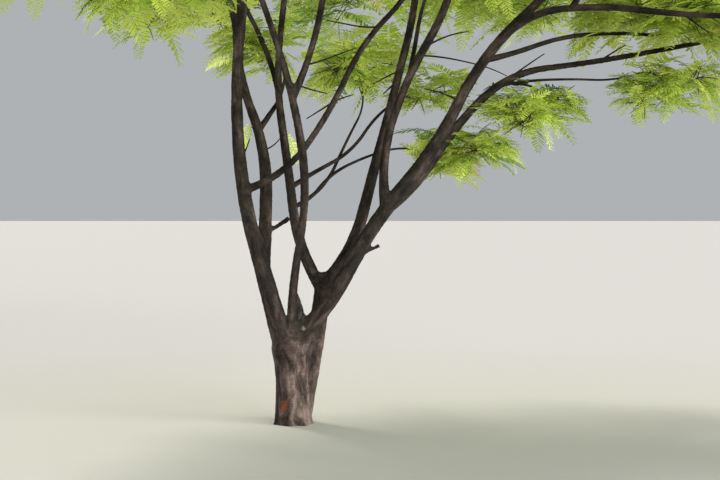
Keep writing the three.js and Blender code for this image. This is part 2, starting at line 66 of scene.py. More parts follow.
# Each limb walks from its start along a heading that turns evenly through the listed ones, a
# bearing round the tree and a rise above the horizontal, in degrees. Starts, lengths and
# girths are in millimetres, girth being the diameter at even steps. on names the limb that
# bears it and the share of the way along that. space is the middle of the mass of leaves at
# its tip, and how far the mass spreads.
STEMS = {
    "front_stem": dict(
        start=(-3, 0, -40),
        headings=[(180, 88), (180, 87), (180, 84)],
        length=660,
        girth=(262, 232, 206, 197, 200, 222, 150),
    ),
    "rear_stem": dict(
        start=(31, 70, -56),
        headings=[(20, 76), (20, 78), (37, 81), (153, 86)],
        length=1045,
        girth=(150, 118, 112, 114, 66),
    ),
}
BOUGHS = {
    "left_bough": dict(
        start=(-31, 0, 416),
        headings=[(188, 74), (196, 74), (221, 86), (305, 78), (187, 63), (185, 55)],
        length=3720,
        girth=(150, 100, 80, 68, 54, 34),
        space=((-1120, -420, 4080), 900),
    ),
    "front_bough": dict(
        start=(-13, -30, 584),
        headings=[(274, 80), (321, 76), (236, 76), (241, 58), (251, 40), (226, 15), (236, 9)],
        length=3733,
        girth=(62, 50, 56, 44, 34, 27, 18),
        space=((-1180, -2250, 3220), 920),
    ),
    "right_bough": dict(
        start=(3, 0, 524),
        headings=[(345, 45), (0, 62), (356, 50), (358, 64), (352, 43), (347, 48), (345, 63)],
        length=3843,
        girth=(120, 100, 92, 74, 62, 44, 26),
        space=((2620, -330, 3750), 920),
    ),
    "rear_bough": dict(
        start=(176, 140, 880),
        headings=[(10, 44), (9, 76), (8, 75), (43, 71), (84, 61), (90, 50), (95, 35)],
        length=3482,
        girth=(98, 78, 60, 54, 44, 36, 24),
        space=((960, 1560, 4020), 900),
    ),
    "rear_left_bough": dict(
        start=(176, 150, 886),
        headings=[(166, 57), (141, 81), (148, 80), (75, 75), (354, 81), (294, 79), (274, 76)],
        length=3347,
        girth=(84, 64, 56, 45, 40, 32, 22),
        space=((20, 250, 4450), 900),
    ),
    "left_inner_bough": dict(
        on=("left_bough", 0.17),
        headings=[(77, 68), (92, 86), (164, 68), (104, 80), (169, 42), (180, 1), (174, 4)],
        length=3165,
        girth=(88, 82, 62, 52, 44, 36, 26),
        space=((-2150, 430, 3280), 920),
    ),
    "left_inner_fork": dict(
        on=("left_inner_bough", 0.29),
        headings=[(56, 42), (78, 24), (65, 71)],
        length=664,
        girth=(38, 30, 18),
        space=((-140, 880, 2480), 540),
    ),
    "front_upright_fork": dict(
        on=("front_bough", 0.42),
        headings=[(338, 62), (301, 65), (284, 68), (267, 63), (253, 52)],
        length=2002,
        girth=(44, 42, 36, 30, 22),
        space=((230, -1420, 4050), 900),
    ),
    "crossing_bough": dict(
        on=("left_bough", 0.31),
        headings=[(345, 15), (10, 54), (311, 54), (321, 36), (305, 61), (312, 54), (300, 55)],
        length=3088,
        girth=(48, 42, 40, 36, 31, 27, 20),
        space=((1560, -1400, 3980), 900),
    ),
    "rear_left_fork": dict(
        on=("rear_left_bough", 0.4),
        headings=[(121, 66), (144, 55), (110, 62), (118, 51)],
        length=1955,
        girth=(36, 32, 26, 20),
        space=((-900, 1400, 3970), 900),
    ),
    "right_upright_bough": dict(
        on=("right_bough", 0.28),
        headings=[(175, 81), (357, 73), (350, 59), (335, 79), (19, 86), (164, 80)],
        length=2832,
        girth=(62, 54, 56, 46, 34, 24),
        space=((1180, -150, 4420), 900),
    ),
    "right_low_bough": dict(
        on=("right_bough", 0.28),
        headings=[(30, 30), (19, 56), (12, 44), (7, 7), (4, 10), (4, 11), (20, 19)],
        length=3017,
        girth=(66, 62, 58, 42, 38, 33, 24),
        space=((3550, 620, 2670), 720),
    ),
    "right_arching_bough": dict(
        on=("right_bough", 0.62),
        headings=[(329, 44), (345, 3), (343, -9), (346, -3), (0, 5)],
        length=1957,
        girth=(50, 45, 44, 36, 24),
        space=((3500, -760, 2670), 720),
    ),
    "right_middle_bough": dict(
        on=("right_bough", 0.58),
        headings=[(33, 11), (15, 20), (5, 4), (3, -5)],
        length=1191,
        girth=(36, 32, 28, 20),
        space=((2430, 470, 2740), 760),
    ),
    "upright_fork": dict(
        on=("right_upright_bough", 0.31),
        headings=[(69, 62), (70, 62), (47, 52)],
        length=800,
        girth=(30, 27, 22),
        space=((1400, 700, 2880), 760),
    ),
    "slanting_branch": dict(
        on=("rear_left_bough", 0.21),
        headings=[(10, 34), (17, 27), (21, 55), (22, 31)],
        length=961,
        girth=(32, 26, 22, 17),
        space=((900, 540, 2200), 380),
    ),
    "low_rear_branch": dict(
        on=("rear_left_bough", 0.17),
        headings=[(12, 24), (43, 59), (61, 43)],
        length=844,
        girth=(28, 22, 15),
        space=((400, 800, 2420), 580),
    ),
    "underside_branch": dict(
        on=("low_rear_branch", 0.23),
        headings=[(9, 55), (16, 26), (10, 17), (14, -15)],
        length=809,
        girth=(22, 19, 16, 13),
        space=((1200, 450, 1790), 460),
    ),
    "thin_right_branch": dict(
        on=("right_low_bough", 0.38),
        headings=[(349, 12), (352, 2), (351, -3), (1, 19)],
        length=942,
        girth=(20, 16, 13),
        space=((2500, 120, 2180), 440),
    ),
    "hanging_branch": dict(
        on=("thin_right_branch", 0.1),
        headings=[(17, 0), (20, -11), (36, -41)],
        length=250,
        girth=(16, 13),
        space=((1560, 320, 2010), 460),
    ),
    "left_outer_bough": dict(
        on=("left_bough", 0.67),
        headings=[(198, 46), (211, 12), (199, -4)],
        length=1291,
        girth=(42, 34, 22),
        space=((-1950, -1050, 3200), 920),
    ),
    "left_hanging_branch": dict(
        on=("left_inner_bough", 0.67),
        headings=[(248, 74), (221, 19), (199, -30)],
        length=510,
        girth=(26, 18),
        space=((-800, 0, 2840), 720),
    ),
    "left_rear_bough": dict(
        on=("left_inner_bough", 0.6),
        headings=[(121, 55), (139, 14), (143, -2)],
        length=1274,
        girth=(40, 32, 22),
        space=((-1800, 1350, 3220), 940),
    ),
    "front_outer_bough": dict(
        on=("front_upright_fork", 0.38),
        headings=[(283, 46), (274, 23), (274, -3)],
        length=1337,
        girth=(32, 27, 19),
        space=((350, -2420, 3300), 940),
    ),
    "front_right_bough": dict(
        on=("crossing_bough", 0.65),
        headings=[(305, 32), (308, 10), (294, 5)],
        length=1358,
        girth=(28, 24, 18),
        space=((1850, -2230, 3260), 920),
    ),
    "right_front_bough": dict(
        on=("right_arching_bough", 0.27),
        headings=[(314, 54), (306, 21), (297, 9)],
        length=1280,
        girth=(38, 31, 22),
        space=((2900, -1500, 3160), 920),
    ),
    "rear_right_bough": dict(
        on=("rear_bough", 0.6),
        headings=[(63, 48), (49, 11), (54, 4)],
        length=1510,
        girth=(38, 31, 22),
        space=((2000, 1950, 3100), 940),
    ),
    "rear_outer_bough": dict(
        on=("rear_left_bough", 0.62),
        headings=[(52, 40), (74, 12), (84, -1)],
        length=1612,
        girth=(38, 31, 22),
        space=((420, 2420, 3000), 960),
    ),
    "rear_left_outer_bough": dict(
        on=("rear_left_fork", 0.46),
        headings=[(119, 41), (106, 14), (102, 0)],
        length=1280,
        girth=(26, 23, 18),
        space=((-1000, 2250, 3040), 940),
    ),
}
METRE = 1000
WALK_STEPS = 48
FOOT_SWELLING = 0.28
SWELLS_OVER = 0.11


def heading(bearing, rise):
    """The direction with a bearing round the tree and a rise above the horizontal."""
    flat = math.cos(math.radians(rise))
    turn = math.radians(bearing)
    return np.array([flat * math.cos(turn), flat * math.sin(turn), math.sin(math.radians(rise))])


def along(values, share):
    """The value at a share of the way through evenly spaced ones, numbers or places."""
    place = min(max(share, 0.0), 1.0) * (len(values) - 1)
    before = min(int(place), len(values) - 2)
    return values[before] + (values[before + 1] - values[before]) * (place - before)


def walked_limb(start, headings, length, girth, swell=0.0):
    """A limb's line, walked in even steps, with what its radius needs."""
    turns = [heading(*turn) for turn in headings]
    line = [np.array(start, float)]
    for step in range(WALK_STEPS):
        ahead = along(turns, (step + 0.5) / WALK_STEPS)
        line.append(line[-1] + ahead / np.linalg.norm(ahead) * length / WALK_STEPS)
    radii = [width / 2 for width in girth]
    return dict(line=np.array(line), length=length, radii=radii, swell=swell)


def radius_on(limb, share):
    """A limb's radius at a share of the way along it, swollen toward its foot."""
    swelling = 1 + limb["swell"] * math.exp(-share * limb["length"] / SWELLS_OVER)
    return along(limb["radii"], share) * swelling


# grown is how far along the tree's wood, from the ground, each limb starts.
limbs, grown = {}, {}
for name, limb in {**STEMS, **BOUGHS}.items():
    if "on" in limb:
        bearer, share = limb["on"]
        start = along(limbs[bearer]["line"], share)
        grown[name] = grown[bearer] + share * limbs[bearer]["length"]
    else:
        start = np.array(limb["start"]) / METRE
        grown[name] = start[2]
    limbs[name] = walked_limb(
        start,
        limb["headings"],
        limb["length"] / METRE,
        [width / METRE for width in limb["girth"]],
        FOOT_SWELLING if "on" in limb else 0.0,
    )

# Ridges of root flare run down the trunk's foot, each from a distance out and a height to
# another. Stubs are the stumps of lost side branches. Crotches are wood grown up in a fork.
# Two boughs taper back down into the trunk. Limbs under THIN_LIMB in radius aren't in the skin.
FLARE_RIDGES = 7
RIDGE_TOP = (0.078, 0.2)
RIDGE_FOOT = (0.112, -0.03)
RIDGE_GIRTH = (0.036, 0.07)
RIDGE_STEPS, RIDGE_SIDES = 8, 14
STUBS = {
    "left_inner_bough": dict(
        at=0.075, headings=[(350, 26), (350, 36)], length=0.188, girth=(0.036, 0.028)
    ),
    "right_bough": dict(
        at=0.187, headings=[(350, 18), (350, 30)], length=0.165, girth=(0.034, 0.026)
    ),
}
CROTCHES = [
    dict(start=(0, -0.01, 0.56), headings=[(0, 60), (0, 58)], length=0.17, girth=(0.11, 0.06)),
    dict(
        start=(0.058, -0.014, 0.63),
        headings=[(180, 84), (180, 72)],
        length=0.25,
        girth=(0.08, 0.03),
    ),
    dict(start=(0.066, 0.05, 0.28), headings=[(40, 86), (40, 86)], length=0.4, girth=(0.07, 0.07)),
    dict(
        start=(0.186, 0.145, 0.88), headings=[(0, 90), (0, 90)], length=0.106, girth=(0.104, 0.05)
    ),
]
THIN_LIMB = 0.021
LIMB_STEP, LIMB_SIDES = 0.03, 20
SHORT_STEP, SHORT_SIDES = 0.02, 16
ROOTED_IN_TRUNK = ("left_bough", "right_bough")
ROOTED_DEPTH, ROOTED_GIRTH = 0.16, 0.35


def bend(start, towards, end, steps):
    """A smooth curve that leaves start towards a point and comes to end from it."""
    share = np.linspace(0, 1, steps + 1)[:, None]
    return (1 - share) ** 2 * start + 2 * share * (1 - share) * towards + share**2 * end


def frames_on(points):
    """The way ahead and two sideways ones at each point, carried on without twisting."""
    ahead = np.gradient(points, axis=0)
    ahead /= np.linalg.norm(ahead, axis=1)[:, None]
    runs_sideways = abs(ahead[0][0]) >= 0.9
    side = np.array([0.0, 1.0, 0.0]) if runs_sideways else np.array([1.0, 0.0, 0.0])
    sides, others = [], []
    for direction in ahead:
        side = side - direction * side.dot(direction)
        side /= np.linalg.norm(side)
        sides.append(side)
        others.append(np.cross(direction, side))
    return ahead, np.array(sides), np.array(others)


class Shape:
    """Closed tubes gathered to be joined into one mesh.

    grain is each corner's place across its tube, twice, and along it.
    """

    def __init__(self):
        self.corners, self.faces, self.grain, self.count = [], [], [], 0

    def tube(self, points, radii, sides, lumps=None):
        """Add a closed tube along a line. lumps makes its skin uneven."""
        points = np.asarray(points, float)
        _, side, other = frames_on(points)
        turn = np.linspace(0, 2 * math.pi, sides, endpoint=False)
        run = np.concatenate([[0], np.cumsum(np.linalg.norm(np.diff(points, axis=0), axis=1))])
        rings, grain = [], []
        for i, middle in enumerate(points):
            around = side[i] * np.cos(turn)[:, None] + other[i] * np.sin(turn)[:, None]
            radius = np.full(sides, radii[i])
            if lumps:
                radius = radius * lumps(turn, run[i])
            rings.append(middle + around * radius[:, None])
            flat = np.stack([np.cos(turn) * radius, np.sin(turn) * radius], axis=1)
            grain.append(np.column_stack([flat, np.full(sides, run[i])]))
        rings.append(points[[0, -1]])
        grain.append(np.array([[0, 0, 0], [0, 0, run[-1]]]))
        faces = []
        for ring in range(0, (len(points) - 1) * sides, sides):
            for j in range(sides):
                k = (j + 1) % sides
                faces.append((ring + j, ring + k, ring + sides + k, ring + sides + j))
        last = (len(points) - 1) * sides
        centre = len(points) * sides
        for j in range(sides):
            k = (j + 1) % sides
            faces.append((centre, k, j))
            faces.append((centre + 1, last + j, last + k))
        self.corners.append(np.concatenate(rings))
        self.grain.append(np.concatenate(grain))
        self.faces += [tuple(i + self.count for i in face) for face in faces]
        self.count += centre + 2


def mesh_of(name, corners, faces):
    mesh = bpy.data.meshes.new(name)
    mesh.from_pydata([tuple(corner) for corner in corners], [], faces)
    mesh.update()
    return mesh


def in_scene(name, data):
    """A new object that shows a mesh, a light or a camera."""
    thing = bpy.data.objects.new(name, data)
    bpy.context.scene.collection.objects.link(thing)
    return thing


def limb_points(limb, every):
    """Points and radii at even steps along a limb."""
    shares = np.linspace(0, 1, max(2, int(limb["length"] / every) + 1))
    points = np.array([along(limb["line"], share) for share in shares])
    return points, [radius_on(limb, share) for share in shares]


thick = [name for name in limbs if max(limbs[name]["radii"]) > THIN_LIMB]
thin = [name for name in limbs if name not in thick]
rough = Shape()
for name in thick:
    points, radii = limb_points(limbs[name], LIMB_STEP)
    if name in ROOTED_IN_TRUNK:
        inward = points[0] - points[1]
        inward /= np.linalg.norm(inward)
        points = np.concatenate([[points[0] + inward * ROOTED_DEPTH], points])
        radii = [radii[0] * ROOTED_GIRTH] + radii
    rough.tube(points, radii, LIMB_SIDES)
for i in range(FLARE_RIDGES):
    turn = i / FLARE_RIDGES * 2 * math.pi
    out = np.array([math.cos(turn), math.sin(turn), 0])
    top = out * RIDGE_TOP[0] + np.array([0, 0, RIDGE_TOP[1]])
    foot = out * RIDGE_FOOT[0] + np.array([0, 0, RIDGE_FOOT[1]])
    below_top = out * RIDGE_TOP[0] + np.array([0, 0, (RIDGE_TOP[1] + RIDGE_FOOT[1]) / 2])
    ridge = bend(top, below_top, foot, RIDGE_STEPS)
    rough.tube(ridge, np.linspace(*RIDGE_GIRTH, RIDGE_STEPS + 1) / 2, RIDGE_SIDES)
for crotch in CROTCHES:
    points, radii = limb_points(walked_limb(**crotch), SHORT_STEP)
    rough.tube(points, radii, SHORT_SIDES)
for name, stub in STUBS.items():
    start = along(limbs[name]["line"], stub["at"])
    stump = walked_limb(start, stub["headings"], stub["length"], stub["girth"])
    points, radii = limb_points(stump, SHORT_STEP)
    rough.tube(points, radii, SHORT_SIDES)

# The overlapping tubes become one skin, which is smoothed, filled in where it is hollow, as
# living wood fills a crotch, and smoothed again. Each round of smoothing draws the corners in
# and pushes them out again, so that slim limbs don't shrink.
SKIN_GRAIN = 0.0096
SMOOTH_IN, SMOOTH_OUT = 0.5, 0.52
SMOOTHED_FIRST, SMOOTHED_LAST = 8, 4
CROTCH_FILLS = 42
FILL_SHARE = 0.9
FACING_RENEWED = 6

raw = in_scene("raw_wood", mesh_of("raw_wood", np.concatenate(rough.corners), rough.faces))
skin = raw.modifiers.new("skin", "REMESH")
skin.mode = "VOXEL"
skin.voxel_size = SKIN_GRAIN
depsgraph = bpy.context.evaluated_depsgraph_get()
whole = bpy.data.meshes.new_from_object(raw.evaluated_get(depsgraph))
bpy.data.objects.remove(raw)

corners = np.zeros(len(whole.vertices) * 3)
whole.vertices.foreach_get("co", corners)
corners = corners.reshape(-1, 3)
edges = np.zeros(len(whole.edges) * 2, int)
whole.edges.foreach_get("vertices", edges)
edges = edges.reshape(-1, 2)
neighbours = np.bincount(edges.ravel(), minlength=len(corners))[:, None]


def towards_neighbours(places):
    """The way from each corner to the middle of its neighbours."""
    total = np.zeros_like(places)
    for axis in range(3):
        total[:, axis] = np.bincount(edges[:, 0], places[edges[:, 1], axis], len(places))
        total[:, axis] += np.bincount(edges[:, 1], places[edges[:, 0], axis], len(places))
    return total / neighbours - places


def facing_of(places):
    """Move the skin's corners to their places and say which way each one faces."""
    whole.vertices.foreach_set("co", places.ravel())
    whole.update()
    facing = np.zeros(len(places) * 3)
    whole.vertices.foreach_get("normal", facing)
    return facing.reshape(-1, 3)


def smoothed(places, times):
    for _ in range(times):
        places = places + SMOOTH_IN * towards_neighbours(places)
        places = places - SMOOTH_OUT * towards_neighbours(places)
    return places


corners = smoothed(corners, SMOOTHED_FIRST)
facing = facing_of(corners)
for i in range(CROTCH_FILLS):
    drawn = np.einsum("ij,ij->i", towards_neighbours(corners), facing)
    corners += facing * np.clip(drawn, 0, None)[:, None] * FILL_SHARE
    if i % FACING_RENEWED == FACING_RENEWED - 1:
        facing = facing_of(corners)
corners = smoothed(corners, SMOOTHED_LAST)

# The bark's grain: each corner's place on its nearest limb, across it, twice, and along it,
# blended a little where one limb runs into the next.
GRAIN_BLENDS, GRAIN_BLEND = 3, 0.5

line_points, line_frames, line_runs = [], [], []
for name in thick:
    points, _ = limb_points(limbs[name], SHORT_STEP)
    ahead, side, other = frames_on(points)
    line_points.append(points)
    line_frames.append(np.stack([side, other, ahead], axis=1))
    line_runs.append(grown[name] + np.linspace(0, limbs[name]["length"], len(points)))
line_points = np.concatenate(line_points)
line_frames = np.concatenate(line_frames)
line_runs = np.concatenate(line_runs)


def finder_of(places):
    """A finder of the nearest of some places."""
    finder = kdtree.KDTree(len(places))
    for i, place in enumerate(places):
        finder.insert(place, i)
    finder.balance()
    return finder


finder = finder_of(line_points)
nearest = np.array([finder.find(corner)[1] for corner in corners])
offset = corners - line_points[nearest]
grain = np.einsum("nij,nj->ni", line_frames[nearest], offset)
grain[:, 2] += line_runs[nearest]
for _ in range(GRAIN_BLENDS):
    grain += GRAIN_BLEND * towards_neighbours(grain)

# The bark's relief: flutes along the limb, wrinkles across it and low knobs. Each has a height
# in metres, how closely it comes across the limb and along it, and a shift of its own. Flutes
# and knobs are shallower on limbs of a smaller radius than FULL_RELIEF_FROM.
FLUTES = dict(height=0.0075, across=24, along=1.6, shift=(0, 0))
KNOBS = dict(height=0.0036, across=9, along=9, shift=(5, 0))
WRINKLES = dict(height=0.0018, across=12, along=55, shift=(0, 9))
FULL_RELIEF_FROM = 0.09


def raised(form, u, v, w):
    across, (shift_u, shift_v) = form["across"], form["shift"]
    place = (u * across + shift_u, v * across + shift_v, w * form["along"])
    return form["height"] * noise.noise(Vector(place))


facing = facing_of(corners)
reach = np.linalg.norm(grain[:, :2], axis=1)
relief = np.zeros(len(corners))
for i, (u, v, w) in enumerate(grain):
    fullness = min(reach[i] / FULL_RELIEF_FROM, 1.0)
    relief[i] = (raised(FLUTES, u, v, w) + raised(KNOBS, u, v, w)) * fullness
    relief[i] += raised(WRINKLES, u, v, w)
corners += facing * relief[:, None]
facing_of(corners)

# The skin is cut flat at the ground and closed there. Its corners keep their grain.
cut = bmesh.new()
cut.from_mesh(whole)
grain_layer = cut.verts.layers.float_vector.new("grain")
cut.verts.ensure_lookup_table()
for i, vertex in enumerate(cut.verts):
    vertex[grain_layer] = grain[i]
everything = cut.verts[:] + cut.edges[:] + cut.faces[:]
bmesh.ops.bisect_plane(
    cut, geom=everything, plane_co=(0, 0, 0), plane_no=(0, 0, 1), clear_inner=True
)
rim = [edge for edge in cut.edges if edge.is_boundary]
bmesh.ops.contextual_create(cut, geom=rim)
bmesh.ops.triangulate(cut, faces=[face for face in cut.faces if len(face.verts) > 4])
cut.to_mesh(whole)
cut.free()
whole.name = "trunk_and_boughs"
for face in whole.polygons:
    face.use_smooth = True
trunk_and_boughs = in_scene("trunk_and_boughs", whole)

# The bark has a rusty stain low on the front of the trunk and pale lichen in the fork above it:
# each spot's middle, its size and its colour. Above the fork the bark is painted darker, as
# painted shade for the crown's shade on the boughs.
SPOTS = [
    ((-0.05, -0.1, 0.14), 0.03, (0.28, 0.05, 0.022)),
    ((-0.058, -0.1, 0.11), 0.026, (0.3, 0.06, 0.025)),
    ((0.07, -0.07, 0.63), 0.017, (0.36, 0.35, 0.28)),
]
SPOT_SHARE, SPOT_SOLID, SPOT_ENDS, SPOT_RAGGED = 0.66, 1.4, 2.1, 2.2
# Painted shade under the crown: between these heights the bark darkens to the share of its colour
# given next.
TRUNK_TOP, BOUGHS_FROM = 0.45, 0.95
BOUGH_PAINTED_SHADE = (0.37, 0.38, 0.34)
ALGAE = (0.06, 0.06, 0.028)
LICHEN = (0.3, 0.28, 0.24)
NONE_OF_IT, ALL_OF_IT = (0, 0, 0), (1, 1, 1)


def bark_material(name, dark, light, bleached):
    """Bark: blotched, ringed across the grain, streaked along it, and painted darker on the boughs
    as painted shade under the crown.
    """
    material = bpy.data.materials.new(name)
    material.use_nodes = True
    tree = material.node_tree
    nodes = tree.nodes
    shader = nodes["Principled BSDF"]
    shader.inputs["Specular IOR Level"].default_value = 0.3

    grain_place = nodes.new("ShaderNodeAttribute")
    grain_place.attribute_name = "grain"
    real_place = nodes.new("ShaderNodeTexCoord").outputs["Object"]

    def noise_of(stretch, scale, detail, roughness=0.55, distortion=0.0):
        mapping = nodes.new("ShaderNodeMapping")
        mapping.inputs["Scale"].default_value = stretch
        tree.links.new(grain_place.outputs["Vector"], mapping.inputs["Vector"])
        node = nodes.new("ShaderNodeTexNoise")
        node.inputs["Scale"].default_value = scale
        node.inputs["Detail"].default_value = detail
        node.inputs["Roughness"].default_value = roughness
        node.inputs["Distortion"].default_value = distortion
        tree.links.new(mapping.outputs["Vector"], node.inputs["Vector"])
        return node.outputs["Fac"]

    def ramp(factor, *stops):
        node = nodes.new("ShaderNodeValToRGB")
        node.color_ramp.elements[0].position = stops[0][0]
        node.color_ramp.elements[0].color = (*stops[0][1], 1)
        node.color_ramp.elements[1].position = stops[-1][0]
        node.color_ramp.elements[1].color = (*stops[-1][1], 1)
        for position, colour in stops[1:-1]:
            node.color_ramp.elements.new(position).color = (*colour, 1)
        tree.links.new(factor, node.inputs["Fac"])
        return node.outputs["Color"]

    def mixed(blend, factor, a, b):
        node = nodes.new("ShaderNodeMix")
        node.data_type = "RGBA"
        node.blend_type = blend
        if isinstance(factor, float):
            node.inputs["Factor"].default_value = factor
        else:
            tree.links.new(factor, node.inputs["Factor"])
        tree.links.new(a, node.inputs["A"])
        tree.links.new(b, node.inputs["B"])
        return node.outputs["Result"]

    def plain(tint):
        node = nodes.new("ShaderNodeRGB")
        node.outputs["Color"].default_value = (*tint, 1)
        return node.outputs["Color"]

    blotches = noise_of((1, 1, 0.45), scale=14, detail=8, roughness=0.62, distortion=0.5)
    rings = noise_of((0.6, 0.6, 3.6), scale=24, detail=5, roughness=0.7, distortion=0.9)
    streaks = noise_of((1, 1, 0.14), scale=46, detail=6, roughness=0.65, distortion=1.4)
    specks = noise_of((1, 1, 1), scale=190, detail=3)
    damp = noise_of((1, 1, 0.3), scale=5.5, detail=3)
    algae = noise_of((1, 1, 0.4), scale=8, detail=5, roughness=0.6)
    flecks = noise_of((1, 1, 0.7), scale=44, detail=5, roughness=0.7)

    colour = ramp(blotches, (0.37, dark), (0.51, light), (0.69, bleached))
    ring_shade = ramp(rings, (0.38, (0.4, 0.38, 0.37)), (0.56, ALL_OF_IT))
    streak_shade = ramp(streaks, (0.38, (0.32, 0.3, 0.28)), (0.56, ALL_OF_IT))
    damp_shade = ramp(damp, (0.4, (0.38, 0.36, 0.34)), (0.56, ALL_OF_IT))
    for strength, shade in ((0.45, ring_shade), (0.6, streak_shade), (0.85, damp_shade)):
        colour = mixed("MULTIPLY", strength, colour, shade)
    algae_share = ramp(algae, (0.54, NONE_OF_IT), (0.72, (0.55, 0.55, 0.55)))
    colour = mixed("MIX", algae_share, colour, plain(ALGAE))
    lichen_share = ramp(flecks, (0.6, NONE_OF_IT), (0.74, (0.4, 0.4, 0.4)))
    colour = mixed("MIX", lichen_share, colour, plain(LICHEN))
    height = nodes.new("ShaderNodeSeparateXYZ")
    tree.links.new(real_place, height.inputs["Vector"])
    # Painted shade: the bark is darkened from the trunk's top up into the boughs, standing for the
    # crown's shade.
    crown_painted_shade = ramp(height.outputs["Z"], (TRUNK_TOP, ALL_OF_IT), (BOUGHS_FROM, BOUGH_PAINTED_SHADE))
    colour = mixed("MULTIPLY", 1.0, colour, crown_painted_shade)
    for centre, size, tint in SPOTS:
        off = nodes.new("ShaderNodeVectorMath")
        off.operation = "DISTANCE"
        tree.links.new(real_place, off.inputs[0])
        off.inputs[1].default_value = centre
        ragged = nodes.new("ShaderNodeMath")
        ragged.operation = "MULTIPLY_ADD"
        tree.links.new(noise_of((1, 1, 1), scale=85, detail=4), ragged.inputs[0])
        ragged.inputs[1].default_value = size * SPOT_RAGGED
        tree.links.new(off.outputs["Value"], ragged.inputs[2])
        solid, ends = (size * SPOT_SOLID, (SPOT_SHARE,) * 3), (size * SPOT_ENDS, NONE_OF_IT)
        colour = mixed("MIX", ramp(ragged.outputs["Value"], solid, ends), colour, plain(tint))
    tree.links.new(colour, shader.inputs["Base Color"])
    roughness = ramp(specks, (0.3, (0.97, 0.97, 0.97)), (0.75, (0.74, 0.74, 0.74)))
    tree.links.new(roughness, shader.inputs["Roughness"])

    fine_relief = mixed("MIX", 0.5, rings, streaks)
    fine_relief = mixed("MIX", 0.25, fine_relief, specks)
    bump = nodes.new("ShaderNodeBump")
    bump.inputs["Strength"].default_value = 0.55
    bump.inputs["Distance"].default_value = 0.004
    tree.links.new(fine_relief, bump.inputs["Height"])
    tree.links.new(bump.outputs["Normal"], shader.inputs["Normal"])
    return material


grey_bark = bark_material(
    "grey_bark",
    dark=(0.021, 0.015, 0.012),
    light=(0.112, 0.08, 0.068),
    bleached=(0.35, 0.255, 0.232),
)
trunk_and_boughs.data.materials.append(grey_bark)
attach(trunk_and_boughs, "root")
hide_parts("trunk", *[name for name in thick if name not in STEMS])


# Thin branches: slender limbs of the same wood and bark that leave the boughs inside and under
# the crown, and short side shoots. Each tapers, is a little crooked and has its swollen foot
# grown into the bough that bears it.
SIDE_SHOOTS = [
    ("front_upright_fork", 0.115, [(0, 13), (10, 22), (0, 18)], 0.33),
    ("front_upright_fork", 0.045, [(0, -19), (0, -12)], 0.19),
    ("crossing_bough", 0.276, [(180, -33), (185, -31)], 0.21),
    ("crossing_bough", 0.276, [(0, 24), (10, 15)], 0.13),
    ("crossing_bough", 0.469, [(180, -6), (180, 12), (180, 9)], 0.33),
    ("rear_bough", 0.45, [(180, -24), (175, -30)], 0.2),
    ("rear_bough", 0.43, [(180, -47), (180, -41)], 0.13),
    ("left_bough", 0.464, [(0, 42), (0, 32)], 0.1),
    ("left_bough", 0.36, [(0, 61), (0, 73)], 0.16),
    ("left_inner_bough", 0.248, [(0, 15), (0, 55)], 0.14),
    ("right_upright_bough", 0.366, [(0, -2), (0, -10), (0, -15), (0, -28)], 0.58),
    ("right_upright_bough", 0.386, [(0, 34), (0, 6)], 0.31),
    ("right_low_bough", 0.396, [(0, 37), (0, 33)], 0.33),
    ("right_low_bough", 0.622, [(0, 34), (0, 30)], 0.2),
    ("right_arching_bough", 0.624, [(0, -35), (0, -37)], 0.2),
    ("right_bough", 0.5, [(170, 30), (175, 10)], 0.24),
]
SHOOT_GIRTH = (0.014, 0.007)
BRANCH_STEP, BRANCH_SIDES, BRANCH_CROOKED, BRANCH_SEEDS = 0.022, 10, 0.09, 7.3
SIDE_SHOOT_SIDES, SIDE_SHOOT_CROOKED, SIDE_SHOOT_SEEDS = 6, 0.14, 50
CROOKS_A_METRE = 14


def crooked(seed, amount):
    """Lumps for a tube: its skin wanders by an amount, a share of its radius."""
    return lambda turn, run: 1 + amount * np.array(
        [
            noise.noise(Vector((math.cos(t) + seed, math.sin(t), run * CROOKS_A_METRE)))
            for t in turn
        ]
    )


def finished(shape, name, material):
    """Join a shape's tubes into a piece that rides with the tree."""
    mesh = mesh_of(name, np.concatenate(shape.corners), shape.faces)
    grain = mesh.attributes.new("grain", "FLOAT_VECTOR", "POINT")
    grain.data.foreach_set("vector", np.concatenate(shape.grain).ravel())
    mesh.polygons.foreach_set("use_smooth", [True] * len(mesh.polygons))
    mesh.materials.append(material)
    piece = in_scene(name, mesh)
    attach(piece, "root")
    return piece


branches = Shape()
for number, name in enumerate(thin):
    points, radii = limb_points(limbs[name], BRANCH_STEP)
    branches.tube(points, radii, BRANCH_SIDES, crooked(number * BRANCH_SEEDS, BRANCH_CROOKED))
for name, share, headings, length in SIDE_SHOOTS:
    side_shoot = walked_limb(along(limbs[name]["line"], share), headings, length, SHOOT_GIRTH)
    points, radii = limb_points(side_shoot, SHORT_STEP)
    lumps = crooked(share * SIDE_SHOOT_SEEDS, SIDE_SHOOT_CROOKED)
    branches.tube(points, radii, SIDE_SHOOT_SIDES, lumps)
thin_branches = finished(branches, "thin_branches", grey_bark)
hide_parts(*thin)


# Twigs: the crown's fine green-brown shoots. At each bough's tip a stem leads into its mass of
# leaves. Twigs leave the stem all round, and each bears short shoots to both sides and one at
# its end. Every twig keeps to its mass's own space, nearer its middle than any other's.

